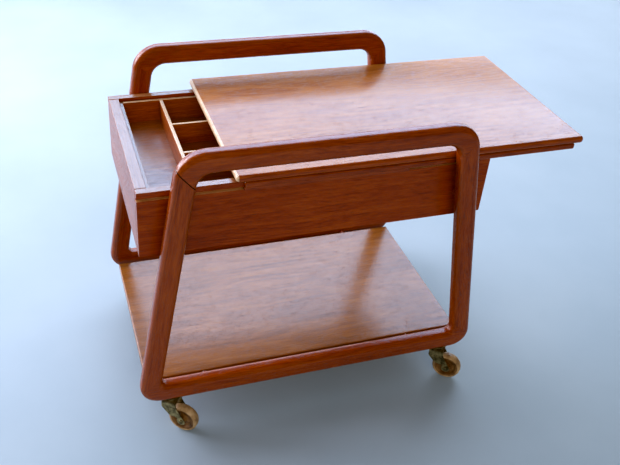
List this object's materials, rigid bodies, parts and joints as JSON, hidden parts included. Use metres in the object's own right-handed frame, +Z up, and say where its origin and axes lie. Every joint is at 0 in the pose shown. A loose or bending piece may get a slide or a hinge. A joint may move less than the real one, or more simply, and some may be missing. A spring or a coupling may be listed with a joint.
{
  "type": "bar cart",
  "caption": "Bar cart on swivel casters: rounded teak side frames carry a divided box under a sliding top, with a flat shelf below.",
  "frame": {"origin": "on the floor, under the middle of the overall box with the top part open as shown", "axes": "+X along the cart towards the side the top slides out on, -Y the front frame, +Z up"},
  "size_m": [0.7997, 0.4648, 0.572],
  "materials": {
    "frame_teak": "oiled teak, satin",
    "box_teak": "oiled teak, satin",
    "board_teak": "teak veneer, semi-gloss",
    "inner_teak": "teak, thin oil",
    "caster_brass": "aged, dull",
    "wheel_hub": "moulded",
    "wheel_tyre": "aged pale rubber"
  },
  "bodies": {
    "cart": {"front_frame_top_rail": "frame_teak", "front_frame_bottom_rail": "frame_teak", "front_frame_left_leg": "frame_teak", "front_frame_right_leg": "frame_teak", "front_box_spacer_left": "frame_teak", "front_box_spacer_right": "frame_teak", "front_shelf_spacer_left": "frame_teak", "front_shelf_spacer_right": "frame_teak", "rear_frame_top_rail": "frame_teak", "rear_frame_bottom_rail": "frame_teak", "rear_frame_left_leg": "frame_teak", "rear_frame_right_leg": "frame_teak", "rear_box_spacer_left": "frame_teak", "rear_box_spacer_right": "frame_teak", "rear_shelf_spacer_left": "frame_teak", "rear_shelf_spacer_right": "frame_teak", "front_box_side": "box_teak", "rear_box_side": "box_teak", "left_box_end": "box_teak", "right_box_end": "box_teak", "box_bottom": "inner_teak", "front_tray_ledge": "inner_teak", "rear_tray_ledge": "inner_teak", "shelf_panel": "board_teak", "front_left_caster_stem": "caster_brass", "front_right_caster_stem": "caster_brass", "rear_left_caster_stem": "caster_brass", "rear_right_caster_stem": "caster_brass"},
    "sliding_top": {"top_panel": "board_teak", "front_top_batten": "box_teak", "rear_top_batten": "box_teak", "front_top_runner": "box_teak", "rear_top_runner": "box_teak", "top_stop_block": "box_teak"},
    "tray": {"tray_left_wall": "inner_teak", "tray_right_wall": "inner_teak", "tray_front_wall": "inner_teak", "tray_rear_wall": "inner_teak", "tray_base": "inner_teak", "tray_long_divider": "inner_teak", "tray_front_cross_divider": "inner_teak", "tray_rear_cross_divider": "inner_teak"},
    "front_left_caster_fork": {"front_left_caster_fork": "caster_brass", "front_left_caster_axle": "caster_brass"},
    "front_left_caster_wheel": {"front_left_caster_hub": "wheel_hub", "front_left_caster_tyre": "wheel_tyre"},
    "front_right_caster_fork": {"front_right_caster_fork": "caster_brass", "front_right_caster_axle": "caster_brass"},
    "front_right_caster_wheel": {"front_right_caster_hub": "wheel_hub", "front_right_caster_tyre": "wheel_tyre"},
    "rear_left_caster_fork": {"rear_left_caster_fork": "caster_brass", "rear_left_caster_axle": "caster_brass"},
    "rear_left_caster_wheel": {"rear_left_caster_hub": "wheel_hub", "rear_left_caster_tyre": "wheel_tyre"},
    "rear_right_caster_fork": {"rear_right_caster_fork": "caster_brass", "rear_right_caster_axle": "caster_brass"},
    "rear_right_caster_wheel": {"rear_right_caster_hub": "wheel_hub", "rear_right_caster_tyre": "wheel_tyre"}
  },
  "joints": [
    {"name": "top_slide", "type": "slide", "parent": "cart", "child": "sliding_top", "axis": [1, 0, 0], "range_m": [-0.164, 0.136]},
    {"name": "tray_slide", "type": "slide", "parent": "cart", "child": "tray", "axis": [1, 0, 0], "range_m": [0, 0.284]},
    {"name": "front_left_caster_swivel", "type": "hinge", "parent": "cart", "child": "front_left_caster_fork", "pos_m": [-0.34535, -0.195, 0.0682], "axis": [0, 0, 1], "continuous": true},
    {"name": "front_left_caster_roll", "type": "hinge", "parent": "front_left_caster_fork", "child": "front_left_caster_wheel", "pos_m": [-0.32657, -0.20994, 0.0278], "axis": [0.6225, 0.7826, 0], "continuous": true},
    {"name": "front_right_caster_swivel", "type": "hinge", "parent": "cart", "child": "front_right_caster_fork", "pos_m": [0.18465, -0.195, 0.0682], "axis": [0, 0, 1], "continuous": true},
    {"name": "front_right_caster_roll", "type": "hinge", "parent": "front_right_caster_fork", "child": "front_right_caster_wheel", "pos_m": [0.20343, -0.20994, 0.0278], "axis": [0.6225, 0.7826, 0], "continuous": true},
    {"name": "rear_left_caster_swivel", "type": "hinge", "parent": "cart", "child": "rear_left_caster_fork", "pos_m": [-0.34535, 0.195, 0.0682], "axis": [0, 0, 1], "continuous": true},
    {"name": "rear_left_caster_roll", "type": "hinge", "parent": "rear_left_caster_fork", "child": "rear_left_caster_wheel", "pos_m": [-0.32657, 0.20994, 0.0278], "axis": [-0.6225, 0.7826, 0], "continuous": true},
    {"name": "rear_right_caster_swivel", "type": "hinge", "parent": "cart", "child": "rear_right_caster_fork", "pos_m": [0.18465, 0.195, 0.0682], "axis": [0, 0, 1], "continuous": true},
    {"name": "rear_right_caster_roll", "type": "hinge", "parent": "rear_right_caster_fork", "child": "rear_right_caster_wheel", "pos_m": [0.20343, 0.20994, 0.0278], "axis": [-0.6225, 0.7826, 0], "continuous": true}
  ]
}
